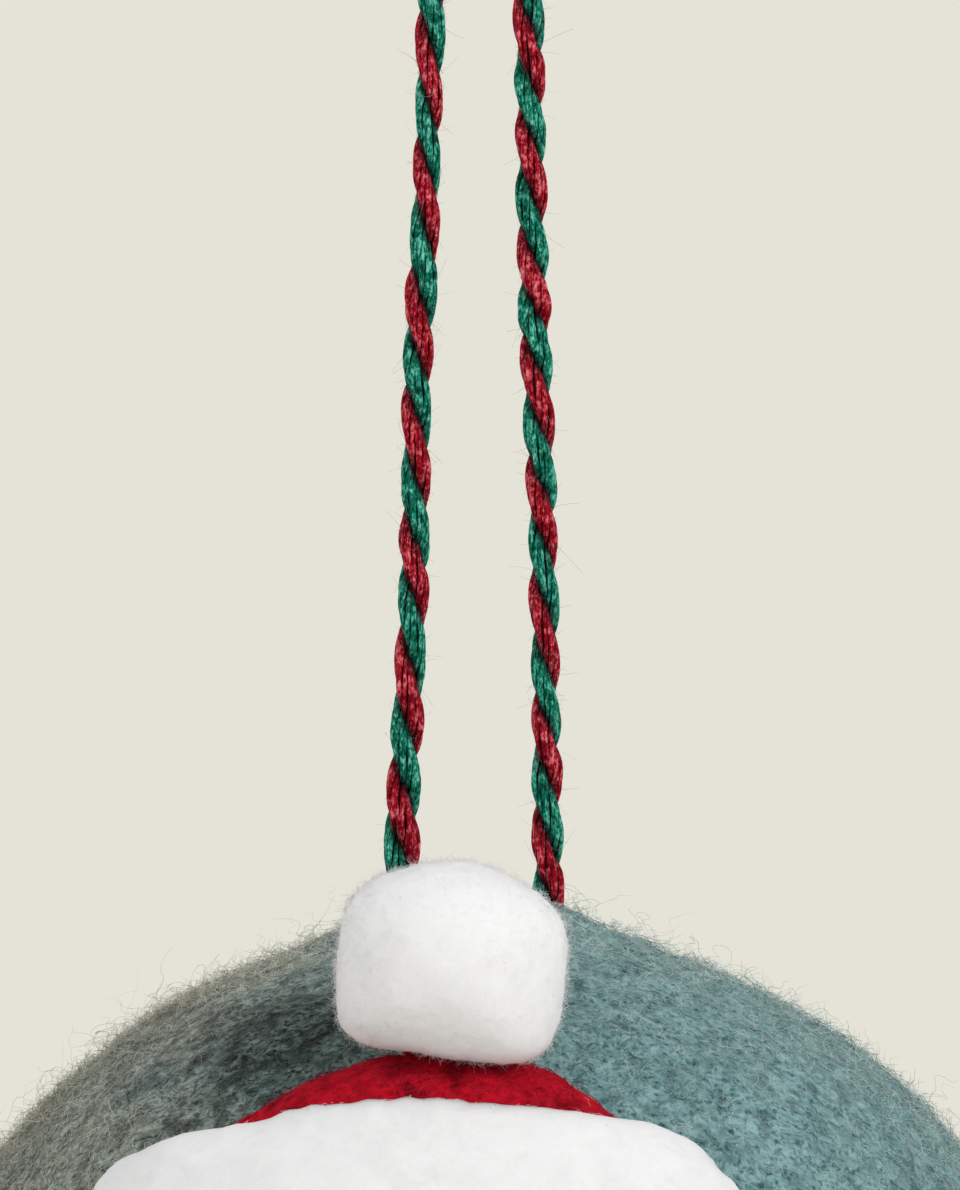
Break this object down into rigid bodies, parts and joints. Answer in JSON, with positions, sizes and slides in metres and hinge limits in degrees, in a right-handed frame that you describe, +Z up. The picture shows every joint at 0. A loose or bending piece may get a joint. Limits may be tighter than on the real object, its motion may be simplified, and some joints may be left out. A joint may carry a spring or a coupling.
{
  "type": "felt ball ornament",
  "caption": "Hanging felt ball ornament with a hat, pompom, nose and beard in relief, on a twisted two-colour cord loop.",
  "frame": {"origin": "inside of the top of the cord loop, where a hook carries the ornament", "axes": "+Z up along the hanging line, the figure on the ball faces -Y, +X to its viewer's right"},
  "size_m": [0.08, 0.0872, 0.1501],
  "materials": {
    "green_wool": "wet felted wool, matt, with curly loose fibres",
    "red_wool": "needle felted wool, matt",
    "white_wool": "thick needle felted wool, matt and fluffy",
    "beard_wool": "needle felted wool in locks, matt",
    "nose_wool": "needle felted wool, matt",
    "pompom_yarn": "cut yarn pile, matt and fluffy",
    "twisted_cord": "red and green cotton plies twisted together",
    "thread": "waxed cotton thread",
    "foam": "expanded polystyrene beads"
  },
  "bodies": {
    "loop_top": {"cord_arch": "twisted_cord"},
    "loop_legs": {"cord_leg_left": "twisted_cord", "cord_leg_right": "twisted_cord"},
    "ball": {"felt_shell": "green_wool", "foam_core": "foam", "cord_end_left": "twisted_cord", "cord_end_right": "twisted_cord", "cord_knot": "twisted_cord", "hat_crown": "red_wool", "hat_brim": "white_wool", "beard": "beard_wool", "nose": "nose_wool"},
    "pompom": {"pompom": "pompom_yarn", "pompom_stitch": "thread"}
  },
  "joints": [
    {"name": "cord_twist", "type": "hinge", "parent": "loop_top", "child": "loop_legs", "pos_m": [0, 0, -0.00845], "axis": [0, 0, 1], "range_deg": [-180, 180], "stiffness_Nm_per_rad": 0.00006},
    {"name": "ball_nod", "type": "hinge", "parent": "loop_legs", "child": "ball", "pos_m": [0, 0, -0.0663], "axis": [1, 0, 0], "range_deg": [-65, 80]},
    {"name": "pompom_tilt", "type": "hinge", "parent": "ball", "child": "pompom", "pos_m": [0.00229, -0.02352, -0.07645], "axis": [1, 0, 0], "range_deg": [-10, 10], "stiffness_Nm_per_rad": 0.0015}
  ]
}
